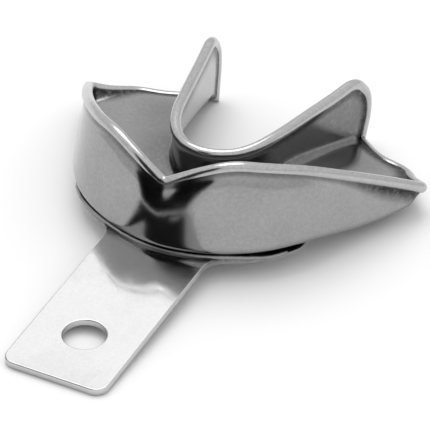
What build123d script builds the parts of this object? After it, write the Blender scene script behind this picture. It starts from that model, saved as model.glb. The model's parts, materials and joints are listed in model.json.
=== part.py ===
"""Lower dental impression tray: pressed trough, two retention wires, handle plate and its solder.

The tray is drawn on its handle plane: X to the wearer's left, Y towards the heels, Z up out of
the trough, with Z = 0 on the underside of the handle plate and Y = 0 at the front of the trough.
Every piece is then settled onto the table, where the tray rests on its two heels and on the end
of the handle.
"""
from build123d import *
import math
import os
from collections import namedtuple

# Driving sizes, millimetres
trough_width = 66.0          # over the sheet at the buccal tips
trough_length = 51.0         # front of the base to the heel corners
rim_height = 17.2            # highest point of the labial rim above the handle's underside
sheet = 0.9                  # pressed sheet of the trough
bend_radius = 2.0            # bend between the floor and the lingual flange, to mid sheet
base_radius = 1.3            # bend between the floor and the buccal wall, to mid sheet
belly_radius = 14.0          # easy bend half way up the buccal wall
wire_diameter = 1.9          # round retention wire along every edge
wire_corner = 1.6            # tightest bend of the wires, at the notch and the buccal tips
handle_width = 18.0
handle_reach = 35.5          # front of the trough to the handle's end
handle_corner = 2.2
plate = 1.2                  # handle plate
hole_diameter = 7.1
hole_setback = 11.2          # handle's end to the middle of the hole
foot_margin = -0.4           # foot plate's edge outside the trough's wall
foot_span = 41.6             # over the foot's two tips
foot_depth = 8.0             # how far the foot reaches in under the floor
foot_fillet = 4.0            # between the handle's sides and the foot
foot_round = 1.0             # corners of the foot's two tips
solder = 0.2                 # solder film between the foot and the floor
solder_inset = 1.4           # solder's edge set back from the foot's edge
solder_span = 32.0           # over the solder's two ends

# Most of its shorter run that one bend may take up, and how near counts as the same place
wire_share = 0.45            # any bend of the wires or of the ear's edge
base_share = 0.7             # bend between the floor and the buccal wall
belly_share = 0.25           # belly of the buccal wall
near = 0.01

# The press pattern is drawn for these sizes and stretched to the driving sizes above
pattern_half_width = 33.0
pattern_length = 51.0
pattern_rim = 17.2
across = (trough_width / 2) / pattern_half_width
along = trough_length / pattern_length
upward = rim_height / pattern_rim

floor_height = plate + solder + sheet / 2        # middle of the floor sheet over the foot
wire_radius = wire_diameter / 2

# Sections of the sheet, from the front to past the heels. Each runs across the trough: the middle
# of the lingual flange and of the buccal wall at the floor, how far the floor has dipped at each,
# the flange's height, how far in the buccal rim leans, its height, and the wall's belly.
Station = namedtuple("Station", "inner outer inner_dip outer_dip flange lean wall belly")
stations = [
    Station((0.0, 16.2), (0.0, -0.2), 0.0, 0.0, 7.9, 3.6, 10.3, 1.2),
    Station((1.5, 16.4), (2.8, 0.0), 0.0, 0.0, 7.9, 3.7, 11.8, 1.2),
    Station((3.0, 16.9), (5.7, 0.6), 0.0, 0.0, 7.8, 3.8, 13.2, 1.3),
    Station((5.4, 18.8), (11.7, 2.9), 0.0, 0.0, 7.5, 3.8, 15.2, 1.5),
    Station((7.4, 21.6), (17.3, 6.9), 0.0, 0.1, 7.5, 3.8, 13.9, 1.5),
    Station((8.8, 25.2), (22.1, 13.9), 0.0, 1.0, 7.5, 2.8, 12.2, 1.1),
    Station((9.8, 29.6), (25.9, 22.6), 0.4, 3.4, 7.5, 1.4, 9.9, 0.8),
    Station((11.0, 35.4), (29.5, 30.8), 2.2, 4.5, 8.9, 0.7, 5.8, 0.5),
    Station((12.2, 41.2), (32.4, 38.6), 4.3, 5.0, 10.5, 0.4, 1.7, 0.3),
    Station((13.4, 47.4), (34.4, 45.8), 6.7, 7.5, 12.6, 0.4, 2.4, 0.3),
    Station((14.8, 54.2), (36.4, 53.0), 9.2, 10.2, 14.6, 0.4, 2.4, 0.3),
]

# The heel edge in plan and its dip, from the buccal tip in to the heel corner, and the rear edge
# of the lingual ear, from the heel corner up to its tip: distance back and height over the floor
heel_edge = [(31.4, 36.3, 2.5), (28.6, 38.6, 4.0), (25.4, 43.0, 5.9), (19.6, 44.3, 6.1)]
heel_corner = (13.9, 49.4, 7.3)
ear_edge = [(51.0, -1.8), (50.8, 2.0), (47.6, 6.0)]


def spot(x, y, z):
    """A point of the press pattern, stretched to the driving sizes. Z is over the floor."""
    return Vector(x * across, y * along, floor_height + z * upward)


def largest_arc(before, corner, after, share):
    """Radius of the widest arc that rounds a corner within a share of its shorter run."""
    arriving = Vector(corner) - Vector(before)
    leaving = Vector(after) - Vector(corner)
    turn = math.radians(arriving.get_angle(leaving))
    return share * min(arriving.length, leaving.length) / math.tan(turn / 2)


def arcs_along(points, tightest):
    """Radii for the inner corners of a route, each the widest that fits or the one named."""
    radii = []
    for index in range(1, len(points) - 1):
        widest = largest_arc(*points[index - 1:index + 2], wire_share)
        radii.append(min(widest, tightest.get(index, widest)))
    return radii


def section_plane(station):
    """Upright plane across the trough, its X running outwards from the lingual flange."""
    start = spot(*station.inner, 0)
    outwards = (spot(*station.outer, 0) - start).normalized()
    origin = (start.X, start.Y, 0)
    return Plane(origin=origin, x_dir=outwards, z_dir=outwards.cross(Vector(0, 0, 1)))


def section_points(station):
    """Corners of the middle of the sheet in its section plane, from flange top to buccal rim."""
    reach = (spot(*station.outer, 0) - spot(*station.inner, 0)).length
    inner_floor = floor_height - station.inner_dip * upward
    outer_floor = floor_height - station.outer_dip * upward
    return [
        (0, inner_floor + station.flange * upward),
        (0, inner_floor),
        (reach, outer_floor),
        (reach - station.lean / 2 + station.belly, outer_floor + station.wall * upward / 2),
        (reach - station.lean, outer_floor + station.wall * upward),
    ]


def edge_point(station, index):
    """The flange's top (0) or the buccal rim (-1) of a section, in the tray's own frame."""
    return section_plane(station).from_local_coords(section_points(station)[index])


# Routes of the two wires, on the middle of the sheet's edge. They meet in a mitre at each heel
# corner, so each route starts and ends a little past it.
heel_end = spot(heel_corner[0], heel_corner[1], -heel_corner[2])
heel_route = [spot(x, y, -dip) for x, y, dip in heel_edge]
flange_way = (section_plane(stations[-1]).origin - section_plane(stations[-2]).origin).normalized()
ear_route = []
for back, height in ear_edge:
    step = (spot(0, back, 0).Y - heel_end.Y) / flange_way.Y
    foot = heel_end + flange_way * step
    ear_route.append(Vector(foot.X, foot.Y, floor_height + height * upward))
heel_run = (heel_route[-1] - heel_end).normalized()
ear_run = (ear_route[0] - heel_end).normalized()
ear_half = ear_route[::-1] + [heel_end - ear_run * wire_diameter]
mitre_way = (ear_run - heel_run).normalized()
mitres = [
    Plane(origin=(hand * heel_end.X, heel_end.Y, heel_end.Z),
          z_dir=(hand * mitre_way.X, mitre_way.Y, mitre_way.Z))
    for hand in (-1, 1)
]

rim_stations = [edge_point(station, -1) for station in stations[:-3]]
rim_half = rim_stations + heel_route + [heel_end - heel_run * wire_diameter]
flange_stations = [edge_point(station, 0) for station in stations[:-2]]
tongue_half = flange_stations + ear_half


def both_sides(half):
    """A half route with its mirror image, left to right, through the point on the middle."""
    return [Vector(-point.X, point.Y, point.Z) for point in half[:0:-1]] + half


def bent_wire(half, corners, waste_side):
    """Round wire along a half route and its mirror image, mitred at both heel corners."""
    points = both_sides(half)
    middle = len(half) - 1
    tightest = {middle + sign * corner: wire_corner for corner in corners for sign in (-1, 1)}
    with BuildPart() as wire:
        with BuildLine() as route:
            FilletPolyline(*points, radius=arcs_along(points, tightest))
        with BuildSketch(Plane(origin=route.line @ 0, z_dir=route.line % 0)):
            Circle(wire_radius)
        sweep()
        with Locations(*mitres):
            Box(*[2 * wire_diameter] * 3, align=(Align.CENTER, Align.CENTER, waste_side),
                mode=Mode.SUBTRACT)
    return wire


# Rim wire: heel corner, buccal tip, labial notch and back down the other side
tip = len(rim_stations)
rim_wire = bent_wire(rim_half, (0, tip), Align.MIN)

# Tongue wire: heel corner, up the ear and round the tongue opening
tongue_wire = bent_wire(tongue_half, (), Align.MAX)

# The trough: one half lofted through its sections, trimmed along the wires, then mirrored
rear = spot(0, 2 * pattern_length, 0).Y
side = spot(2 * pattern_half_width, 0, 0).X
with BuildPart() as half_trough:
    for station in stations:
        corners = section_points(station)
        radii = [
            bend_radius,
            min(base_radius, largest_arc(*corners[1:4], base_share)),
            min(belly_radius, largest_arc(*corners[2:5], belly_share)),
        ]
        with BuildSketch(section_plane(station)):
            with BuildLine():
                FilletPolyline(*corners, radius=radii)
                offset(amount=sheet / 2, side=Side.BOTH)
            make_face()
    loft()

    # Heel edge, cut straight down outside the flange
    beyond_tip = heel_route[0] + (heel_route[0] - heel_route[1])
    flange_face = heel_end + flange_way.cross(Vector(0, 0, 1)) * sheet / 2
    heel_plan = [beyond_tip, *heel_route[1:], flange_face, flange_face + flange_way * rear,
                 Vector(side, rear), Vector(side, beyond_tip.Y)]
    with BuildSketch():
        with BuildLine():
            Polyline(*[(point.X, point.Y) for point in heel_plan], close=True)
        make_face()
    extrude(amount=rear, both=True, mode=Mode.SUBTRACT)

    # Ear edge, cut square to the flange
    ear_side = [(point.Y, point.Z) for point in flange_stations[-2:] + ear_half]
    with BuildSketch(Plane.YZ) as ear_cut:
        with BuildLine():
            edge = FilletPolyline(*ear_side, radius=arcs_along([(0, *p) for p in ear_side], {}))
            Polyline(edge @ 0, (ear_side[0][0], rear), (rear, rear), (rear, -rear),
                     (ear_side[-1][0], -rear), edge @ 1)
        make_face()
    extrude(amount=side, mode=Mode.SUBTRACT)

with BuildPart() as tray_bowl:
    add(half_trough.part)
    mirror(about=Plane.YZ)
    add(rim_wire.part, mode=Mode.SUBTRACT)
    add(tongue_wire.part, mode=Mode.SUBTRACT)

foot_stations = stations[:6]                     # sections that stand over the foot


def base_line(margin):
    """Points along the outside of the trough's front base, moved outwards by a margin."""
    points = []
    for station in foot_stations:
        plane = section_plane(station)
        reach = section_points(station)[2][0]
        points.append(plane.from_local_coords((reach + sheet / 2 + margin, 0)))
    return both_sides(points)


def foot_outline(inset):
    """Crescent under the front of the trough, inset from the foot's own edge."""
    front = Spline(*base_line(foot_margin - inset))
    back = Spline(*base_line(inset - foot_depth))
    Line(front @ 0, back @ 0)
    Line(front @ 1, back @ 1)


# Handle plate: flat handle with its hole, and the foot that carries the trough
with BuildPart() as handle_plate:
    with BuildSketch():
        with BuildLine():
            foot_outline(0)
        make_face()
        Rectangle(foot_span, foot_span, mode=Mode.INTERSECT)
        fillet(vertices().filter_by(lambda v: math.isclose(abs(v.X), foot_span / 2, abs_tol=near)),
               foot_round)
        with Locations((0, -handle_reach)):
            Rectangle(handle_width, handle_reach + foot_depth / 2, align=(Align.CENTER, Align.MIN))
        corners = vertices().group_by(Axis.Y)
        fillet(corners[0], handle_corner)
        roots = vertices().filter_by(lambda v: math.isclose(abs(v.X), handle_width / 2, abs_tol=near))
        fillet(roots.filter_by(lambda v: v.Y > -handle_reach / 2), foot_fillet)
        with Locations((0, hole_setback - handle_reach)):
            Circle(hole_diameter / 2, mode=Mode.SUBTRACT)
    extrude(amount=plate)
    add(tray_bowl.part, mode=Mode.SUBTRACT)

# Solder film between the foot and the underside of the floor
with BuildPart() as solder_film:
    with BuildSketch(Plane.XY.offset(plate)):
        with BuildLine():
            foot_outline(solder_inset)
        make_face()
        Rectangle(solder_span, solder_span, mode=Mode.INTERSECT)
    extrude(amount=solder + sheet / 2)
    add(tray_bowl.part, mode=Mode.SUBTRACT)

# Settle the tray on the table: tilt it until the heels and the handle's end are level
heel_arm = Vector(0, heel_end.Y + handle_reach, heel_end.Z)
level = math.asin(wire_radius / heel_arm.length) - math.atan2(heel_arm.Z, heel_arm.Y)
tilt = Location((0, 0, 0), (math.degrees(level), 0, 0))
pieces = [tray_bowl, rim_wire, tongue_wire, handle_plate, solder_film]
box = Compound([tilt * piece.part for piece in pieces]).bounding_box()
for piece in pieces:
    piece.part = Location((0, -box.center().Y, -box.min.Z)) * tilt * piece.part

tray_bowl.part.label = "tray_bowl"
rim_wire.part.label = "rim_wire"
tongue_wire.part.label = "tongue_wire"
handle_plate.part.label = "handle_plate"
solder_film.part.label = "solder_film"

os.makedirs("parts", exist_ok=True)
export_step(tray_bowl.part, "parts/tray_bowl.step")
export_step(rim_wire.part, "parts/rim_wire.step")
export_step(tongue_wire.part, "parts/tongue_wire.step")
export_step(handle_plate.part, "parts/handle_plate.step")
export_step(solder_film.part, "parts/solder_film.step")
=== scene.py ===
"""Studio scene of a metal impression tray for the lower arch.

The tray is a trough pressed from one sheet, with a round retention wire along every edge, carried
on a flat handle plate. Every piece is built in the tray's own drawing frame, on the plane of its
handle, and then settled onto the table exactly as the CAD model is.
"""

import json
import logging
import math
from dataclasses import dataclass, field
from enum import Enum
from typing import Any, ClassVar, Mapping, Sequence

import bmesh
import bpy
import numpy as np
from mathutils import Matrix, Vector


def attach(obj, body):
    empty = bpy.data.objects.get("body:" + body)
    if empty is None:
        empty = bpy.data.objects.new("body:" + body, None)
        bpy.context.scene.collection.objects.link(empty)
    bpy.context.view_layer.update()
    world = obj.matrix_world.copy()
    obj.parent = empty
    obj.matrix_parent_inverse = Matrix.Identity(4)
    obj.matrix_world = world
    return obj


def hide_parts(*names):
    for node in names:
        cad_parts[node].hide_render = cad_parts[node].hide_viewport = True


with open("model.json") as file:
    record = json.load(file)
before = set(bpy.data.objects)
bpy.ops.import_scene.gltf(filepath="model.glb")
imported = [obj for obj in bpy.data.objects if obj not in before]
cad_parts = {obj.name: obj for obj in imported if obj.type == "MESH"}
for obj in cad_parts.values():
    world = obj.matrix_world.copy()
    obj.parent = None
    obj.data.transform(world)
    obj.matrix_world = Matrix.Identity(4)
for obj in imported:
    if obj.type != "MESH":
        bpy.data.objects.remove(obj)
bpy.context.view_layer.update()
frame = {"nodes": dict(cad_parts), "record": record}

MM = 0.001
ROOT = "root"
SHADE_WEIGHT = "painted_shade_weight"

log = logging.getLogger("tray")

Points = np.ndarray
Socket = bpy.types.NodeSocket


# ---------------------------------------------------------------------------------------------
# Lines and curves
# ---------------------------------------------------------------------------------------------

def unit(way: Points) -> Points:
    """Unit vectors along the last axis."""
    return way / np.maximum(np.linalg.norm(way, axis=-1, keepdims=True), 1e-12)


def ease(share: Points) -> Points:
    """Smooth step from 0 to 1, clamped at both ends."""
    held = np.clip(share, 0.0, 1.0)
    return held * held * (3.0 - 2.0 * held)


def run_lengths(points: Points) -> Points:
    """Length along a polyline at each of its points."""
    steps = np.linalg.norm(np.diff(points, axis=0), axis=1)
    return np.concatenate([[0.0], np.cumsum(steps)])


def mirrored(half: Points) -> Points:
    """A half line that starts on the middle plane, with its mirror image in front of it."""
    other = half[:0:-1].copy()
    other[:, 0] *= -1.0
    return np.vstack([other, half])


def evenly(points: Points, spacing: float) -> Points:
    """Resample a polyline at even steps.

    Args:
        points: The polyline, one row for each point.
        spacing: Wanted length of a step.

    Returns:
        Points along the same line, its two ends kept.
    """
    lengths = run_lengths(points)
    count = max(2, int(round(lengths[-1] / spacing)) + 1)
    stops = np.linspace(0.0, lengths[-1], count)
    return np.column_stack([np.interp(stops, lengths, points[:, k]) for k in range(3)])


def nearest_on(points: Points, line: Points) -> tuple[Points, Points]:
    """Nearest place on a polyline to each of many points.

    Args:
        points: Points, one a row.
        line: The polyline.

    Returns:
        The nearest place to each point, and its distance.
    """
    best = np.full(len(points), np.inf)
    place = np.zeros_like(points)
    for start, end in zip(line[:-1], line[1:]):
        run = end - start
        share = np.clip((points - start) @ run / max(run @ run, 1e-18), 0.0, 1.0)
        spot = start + share[:, None] * run
        gap = np.linalg.norm(points - spot, axis=1)
        closer = gap < best
        best[closer] = gap[closer]
        place[closer] = spot[closer]
    return place, best


def bent(points: Sequence[Points], share: float, tightest: Mapping[int, float]) -> Points:
    """Round the corners of a route with arcs, as wire is bent.

    Args:
        points: Corners of the route.
        share: Most of the shorter run beside a corner that its arc takes up.
        tightest: Radius of the corners that are bent tighter than that, by index.

    Returns:
        The rounded route as a fine polyline.
    """
    corners = [np.asarray(p, float) for p in points]
    line = [corners[0]]
    for index in range(1, len(corners) - 1):
        before, corner, after = corners[index - 1:index + 2]
        arriving, leaving = unit(corner - before), unit(after - corner)
        turn = math.acos(float(np.clip(arriving @ leaving, -1.0, 1.0)))
        reach = share * min(np.linalg.norm(corner - before), np.linalg.norm(after - corner))
        if index in tightest:
            reach = min(reach, tightest[index] * math.tan(turn / 2))
        radius = reach / math.tan(turn / 2)
        middle = corner + unit(leaving - arriving) * radius / math.cos(turn / 2)
        start = corner - arriving * reach - middle
        side = arriving * radius
        for angle in np.linspace(0.0, turn, max(4, int(math.degrees(turn) / 4) + 2)):
            line.append(middle + start * math.cos(angle) + side * math.sin(angle))
    line.append(corners[-1])
    return np.array(line)


class Curve:
    """Natural cubic through values given at places along a line."""

    def __init__(self, places: Points, values: Points) -> None:
        """Solve the second derivatives of the curve.

        Args:
            places: Rising places, one for each value.
            values: The values there.
        """
        self.places = np.asarray(places, float)
        self.values = np.asarray(values, float)
        count = len(self.places)
        gaps = np.diff(self.places)
        matrix = np.eye(count)
        right = np.zeros(count)
        for k in range(1, count - 1):
            matrix[k, k - 1:k + 2] = gaps[k - 1], 2 * (gaps[k - 1] + gaps[k]), gaps[k]
            rise = np.diff(self.values)[k - 1:k + 1] / gaps[k - 1:k + 1]
            right[k] = 6 * (rise[1] - rise[0])
        self.bend = np.linalg.solve(matrix, right)

    def at(self, place: Points) -> Points:
        """Values of the curve at many places.

        Args:
            place: Where, in any shape of array.

        Returns:
            The values, in the same shape.
        """
        k = np.clip(np.searchsorted(self.places, place) - 1, 0, len(self.places) - 2)
        gap = self.places[k + 1] - self.places[k]
        late = (place - self.places[k]) / gap
        early = 1.0 - late
        bow = ((early ** 3 - early) * self.bend[k] + (late ** 3 - late) * self.bend[k + 1])
        return early * self.values[k] + late * self.values[k + 1] + bow * gap ** 2 / 6.0


# ---------------------------------------------------------------------------------------------
# From drawing frame to table, and into Blender
# ---------------------------------------------------------------------------------------------

@dataclass(frozen=True)
class Settling:
    """How the tray tips from its handle's plane onto its heels and the handle's end.

    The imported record's hole through the handle shows it: the hole's axis is square to the handle,
    and its middle is known on the drawing.
    """

    hole_middle: tuple[float, float, float] = (0.0, -24.3, 0.6)
    hole_name: str = "handle_hole"

    def _hole(self) -> Mapping[str, Any]:
        """The hole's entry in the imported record."""
        return next(m for m in frame["record"]["mounts"] if m["name"] == self.hole_name)

    @property
    def turn(self) -> Points:
        """Rotation about the tray's cross axis, as a matrix."""
        _, lean, rise = self._hole()["axis"]
        return np.array([[1.0, 0.0, 0.0], [0.0, rise, lean], [0.0, -lean, rise]])

    def turned(self, ways: Points) -> Points:
        """Directions of the drawing, as they lie on the table."""
        return np.asarray(ways, float) @ self.turn.T

    def placed(self, points: Points) -> Points:
        """Move points from the drawing, in millimetres, onto the table, in metres.

        Args:
            points: Points of the drawing, one a row.

        Returns:
            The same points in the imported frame.
        """
        hole = np.array(self._hole()["pos_m"])
        return (self.turned(points) - self.turned(np.array([self.hole_middle]))) * MM + hole


SETTLING = Settling()


def mesh_of(name: str, points: Points, faces: Sequence[Sequence[int]]) -> bpy.types.Mesh:
    """A mesh from points of the drawing, settled on the table.

    Args:
        name: The mesh's name.
        points: Points of the drawing, in millimetres.
        faces: Corner numbers of each face.

    Returns:
        The mesh, shaded smooth, its faces pointing outwards.
    """
    mesh = bpy.data.meshes.new(name)
    mesh.from_pydata(SETTLING.placed(points).tolist(), [], [list(f) for f in faces])
    mesh.update()
    mesh.polygons.foreach_set("use_smooth", [True] * len(mesh.polygons))
    return outward(mesh)


def outward(mesh: bpy.types.Mesh) -> bpy.types.Mesh:
    """Turn a closed mesh's faces outwards.

    Args:
        mesh: A closed mesh.

    Returns:
        The same mesh.
    """
    work = bmesh.new()
    work.from_mesh(mesh)
    bmesh.ops.remove_doubles(work, verts=work.verts, dist=1e-7)
    bmesh.ops.recalc_face_normals(work, faces=work.faces)
    if work.calc_volume(signed=True) < 0:
        bmesh.ops.reverse_faces(work, faces=work.faces)
    work.to_mesh(mesh)
    work.free()
    mesh.update()
    return mesh


def places_of(mesh: bpy.types.Mesh) -> Points:
    """Where a mesh's points are, one a row."""
    places = np.zeros(len(mesh.vertices) * 3)
    mesh.vertices.foreach_get("co", places)
    return places.reshape(-1, 3)


def store_shade_weight(mesh: bpy.types.Mesh, values: Points) -> None:
    """Store how much painted shade each of a mesh's points gets, mostly from how near it is to a
    soldered seam.
    """
    kept = mesh.attributes.new(SHADE_WEIGHT, "FLOAT", "POINT")
    kept.data.foreach_set("value", values.astype(np.float32))


def shown(name: str, mesh: bpy.types.Mesh) -> bpy.types.Object:
    """An object in the scene for a finished mesh."""
    made = bpy.data.objects.new(name, mesh)
    bpy.context.scene.collection.objects.link(made)
    return made


def joined(piece: bpy.types.Object, nodes: Sequence[str], slot: str) -> bpy.types.Object:
    """Let a finished piece ride on the tray and stand for its CAD nodes.

    Args:
        piece: The finished piece.
        nodes: CAD nodes that it stands for, which may be none.
        slot: The record's material slot of its finish.

    Returns:
        The same piece.
    """
    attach(piece, ROOT)
    if nodes:
        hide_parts(*nodes)
    log.info("%s: %d faces, slot %s, stands for %s", piece.name, len(piece.data.polygons), slot,
             ", ".join(nodes) or "no node")
    return piece


# ---------------------------------------------------------------------------------------------
# Node trees
# ---------------------------------------------------------------------------------------------

class Graph:
    """Puts nodes into a tree and links them."""

    def __init__(self, tree: bpy.types.NodeTree) -> None:
        """Take up a tree."""
        self.tree = tree

    def node(self, kind: str, inputs: Mapping[int | str, Any] | None = None,
             **settings: Any) -> bpy.types.Node:
        """Add one node.

        Args:
            kind: Blender's name of the node type.
            inputs: Values or sockets for its inputs, by name or number.
            **settings: Properties of the node.

        Returns:
            The node.
        """
        made = self.tree.nodes.new(kind)
        row, column = divmod(len(self.tree.nodes), 12)
        made.location = (column * 190.0, row * -260.0)
        for name, value in settings.items():
            setattr(made, name, value)
        for key, value in (inputs or {}).items():
            if isinstance(value, Socket):
                self.tree.links.new(value, made.inputs[key])
            else:
                made.inputs[key].default_value = value
        return made

    def surface(self, shader: Socket, kind: str = "ShaderNodeOutputMaterial") -> None:
        """Send a shader to the tree's output."""
        self.tree.links.new(shader, self.node(kind).inputs["Surface"])

    def math(self, operation: str, first: Any, second: Any = 0.0, clamp: bool = False) -> Socket:
        """Result of a math node."""
        return self.node("ShaderNodeMath", {0: first, 1: second}, operation=operation,
                         use_clamp=clamp).outputs[0]

    def vector(self, operation: str, first: Any, second: Any = (0.0, 0.0, 0.0)) -> Socket:
        """Vector result of a vector math node."""
        return self.node("ShaderNodeVectorMath", {0: first, 1: second},
                         operation=operation).outputs["Vector"]

    def dot(self, first: Any, second: Any) -> Socket:
        """Dot product of two vectors."""
        return self.node("ShaderNodeVectorMath", {0: first, 1: second},
                         operation="DOT_PRODUCT").outputs["Value"]

    def scaled(self, vector: Any, factor: Any) -> Socket:
        """A vector times a number."""
        return self.node("ShaderNodeVectorMath", {0: vector, "Scale": factor},
                         operation="SCALE").outputs["Vector"]

    def ramp(self, value: Any, start: float, end: float, low: float = 0.0,
             high: float = 1.0, smooth: bool = True) -> Socket:
        """Smooth change from one number to another.

        Args:
            value: What it depends on.
            start: Value at which it begins.
            end: Value at which it is done.
            low: Result before the start.
            high: Result past the end.
            smooth: Whether it eases in and out.

        Returns:
            The result's socket.
        """
        return self.node("ShaderNodeMapRange", {
            "Value": value, "From Min": start, "From Max": end, "To Min": low, "To Max": high,
        }, interpolation_type="SMOOTHSTEP" if smooth else "LINEAR").outputs["Result"]

    def noise(self, vector: Socket, scale: Any, detail: float = 3.0, rough: float = 0.5,
              output: str = "Fac") -> Socket:
        """Output of a noise texture."""
        return self.node("ShaderNodeTexNoise", {
            "Vector": vector, "Scale": scale, "Detail": detail, "Roughness": rough,
        }, noise_dimensions="3D").outputs[output]

    def mixed(self, share: Any, first: Any, second: Any) -> Socket:
        """Colour between two colours."""
        return self.node("ShaderNodeMix", {0: share, 6: first, 7: second},
                         data_type="RGBA").outputs[2]


def blank_material(name: str) -> tuple[bpy.types.Material, Graph]:
    """A new material without nodes, and the graph of its tree."""
    material = bpy.data.materials.new(name)
    material.use_nodes = True
    material.node_tree.nodes.clear()
    return material, Graph(material.node_tree)


def new_group(name: str, inputs: Mapping[str, tuple[str, Any]],
              outputs: Mapping[str, str]) -> tuple[Graph, bpy.types.Node, bpy.types.Node]:
    """Start a shader node group with named sockets.

    Args:
        name: The group's name.
        inputs: Kind and first value of each input, by name.
        outputs: Kind of each output, by name.

    Returns:
        Its graph, its input node and its output node.
    """
    tree = bpy.data.node_groups.new(name, "ShaderNodeTree")
    for label, (kind, value) in inputs.items():
        socket = tree.interface.new_socket(label, in_out="INPUT", socket_type="NodeSocket" + kind)
        if value is not None:
            socket.default_value = value
    for label, kind in outputs.items():
        tree.interface.new_socket(label, in_out="OUTPUT", socket_type="NodeSocket" + kind)
    graph = Graph(tree)
    return graph, graph.node("NodeGroupInput"), graph.node("NodeGroupOutput")


class Effect(Enum):
    """Surface effects that several finishes share."""

    SCRATCHES = "Polishing Scratches"
    SMUDGES = "Handling Smudges"
    UNEVEN = "Sheet Unevenness"
    GRAIN = "Metal Grain"
    SEAM_SHADE = "Painted Seam Shade"


class EffectShop:
    """Builds each shared effect once and places it in materials."""

    def __init__(self) -> None:
        """Build the five shared groups."""
        self.trees: dict[Effect, bpy.types.NodeTree] = {
            Effect.SCRATCHES: self._scratches(),
            Effect.SMUDGES: self._smudges(),
            Effect.UNEVEN: self._uneven(),
            Effect.GRAIN: self._grain(),
            Effect.SEAM_SHADE: self._seam_shade(),
        }

    def place(self, graph: Graph, effect: Effect, vector: Socket,
              **values: Any) -> bpy.types.Node:
        """Place a shared effect in a material.

        Args:
            graph: The material's graph.
            effect: Which effect.
            vector: The surface's coordinates, in millimetres.
            **values: The group's other inputs, with _ for a space.

        Returns:
            The group's node.
        """
        node = graph.node("ShaderNodeGroup", node_tree=self.trees[effect])
        graph.tree.links.new(vector, node.inputs["Vector"])
        for name, value in values.items():
            key = name.replace("_", " ")
            if isinstance(value, Socket):
                graph.tree.links.new(value, node.inputs[key])
            else:
                node.inputs[key].default_value = value
        return node

    def _scratches(self) -> bpy.types.NodeTree:
        """Fine straight lines in two directions, gathered in patches.

        Returns:
            The group's tree.
        """
        graph, given, out = new_group(
            Effect.SCRATCHES.value,
            {"Vector": ("Vector", None), "Fineness": ("Float", 6.0), "Length": ("Float", 14.0),
             "Heading": ("Float", 0.3), "Amount": ("Float", 0.5)},
            {"Mask": "Float", "Height": "Float"})
        sets = []
        for turn, shift in ((0.0, 3.0), (0.85, 11.0)):
            heading = graph.math("ADD", given.outputs["Heading"], turn)
            turned = graph.node("ShaderNodeVectorRotate", {
                "Vector": given.outputs["Vector"], "Angle": heading,
            }, rotation_type="Z_AXIS").outputs["Vector"]
            thin = graph.math("DIVIDE", given.outputs["Fineness"], given.outputs["Length"])
            stretch = graph.node("ShaderNodeCombineXYZ", {
                "X": thin, "Y": given.outputs["Fineness"], "Z": thin}).outputs["Vector"]
            drawn = graph.vector("ADD", graph.vector("MULTIPLY", turned, stretch),
                                 (shift, shift * 0.7, 0.0))
            lines = graph.noise(drawn, 1.0, detail=2.0, rough=0.6)
            sets.append(graph.ramp(lines, 0.60, 0.74))
        patches = graph.ramp(graph.noise(given.outputs["Vector"], 0.13, detail=2.0), 0.38, 0.66)
        both = graph.math("MAXIMUM", sets[0], graph.math("MULTIPLY", sets[1], patches))
        mask = graph.math("MULTIPLY", both, given.outputs["Amount"], clamp=True)
        graph.tree.links.new(mask, out.inputs["Mask"])
        graph.tree.links.new(graph.math("MULTIPLY", mask, -1.0), out.inputs["Height"])
        return graph.tree

    def _smudges(self) -> bpy.types.NodeTree:
        """Soft cloudy marks left by hands and wiping.

        Returns:
            The group's tree.
        """
        graph, given, out = new_group(
            Effect.SMUDGES.value,
            {"Vector": ("Vector", None), "Spread": ("Float", 0.16), "Amount": ("Float", 0.6)},
            {"Mask": "Float"})
        warp = graph.scaled(graph.noise(given.outputs["Vector"], 0.21, detail=1.0,
                                        output="Color"), 4.0)
        wiped = graph.vector("MULTIPLY", graph.vector("ADD", given.outputs["Vector"], warp),
                             (1.0, 0.55, 1.0))
        clouds = graph.ramp(graph.noise(wiped, given.outputs["Spread"], detail=4.0, rough=0.62),
                            0.42, 0.68)
        graph.tree.links.new(graph.math("MULTIPLY", clouds, given.outputs["Amount"], clamp=True),
                             out.inputs["Mask"])
        return graph.tree

    def _uneven(self) -> bpy.types.NodeTree:
        """Slow waves that hand-worked sheet keeps after polishing.

        Returns:
            The group's tree.
        """
        graph, given, out = new_group(
            Effect.UNEVEN.value,
            {"Vector": ("Vector", None), "Pitch": ("Float", 9.0), "Ripple": ("Float", 0.25)},
            {"Height": "Float"})
        slow = graph.math("DIVIDE", 1.0, given.outputs["Pitch"])
        waves = graph.noise(given.outputs["Vector"], slow, detail=0.0)
        quick = graph.noise(given.outputs["Vector"], graph.math("MULTIPLY", slow, 3.1), detail=0.0)
        height = graph.math("ADD", waves,
                            graph.math("MULTIPLY", quick, given.outputs["Ripple"]))
        graph.tree.links.new(height, out.inputs["Height"])
        return graph.tree

    def _grain(self) -> bpy.types.NodeTree:
        """Fine grain of the worked metal, as tone and as height.

        Returns:
            The group's tree.
        """
        graph, given, out = new_group(
            Effect.GRAIN.value,
            {"Vector": ("Vector", None), "Fineness": ("Float", 5.0), "Contrast": ("Float", 0.5)},
            {"Mask": "Float", "Height": "Float"})
        coarse = graph.noise(given.outputs["Vector"], given.outputs["Fineness"], detail=3.0,
                             rough=0.7)
        fine = graph.noise(given.outputs["Vector"],
                           graph.math("MULTIPLY", given.outputs["Fineness"], 4.3), detail=2.0)
        both = graph.math("MULTIPLY", graph.math("ADD", coarse, fine), 0.5)
        mask = graph.math("MULTIPLY", graph.ramp(both, 0.38, 0.62), given.outputs["Contrast"],
                          clamp=True)
        graph.tree.links.new(mask, out.inputs["Mask"])
        graph.tree.links.new(both, out.inputs["Height"])
        return graph.tree

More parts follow.
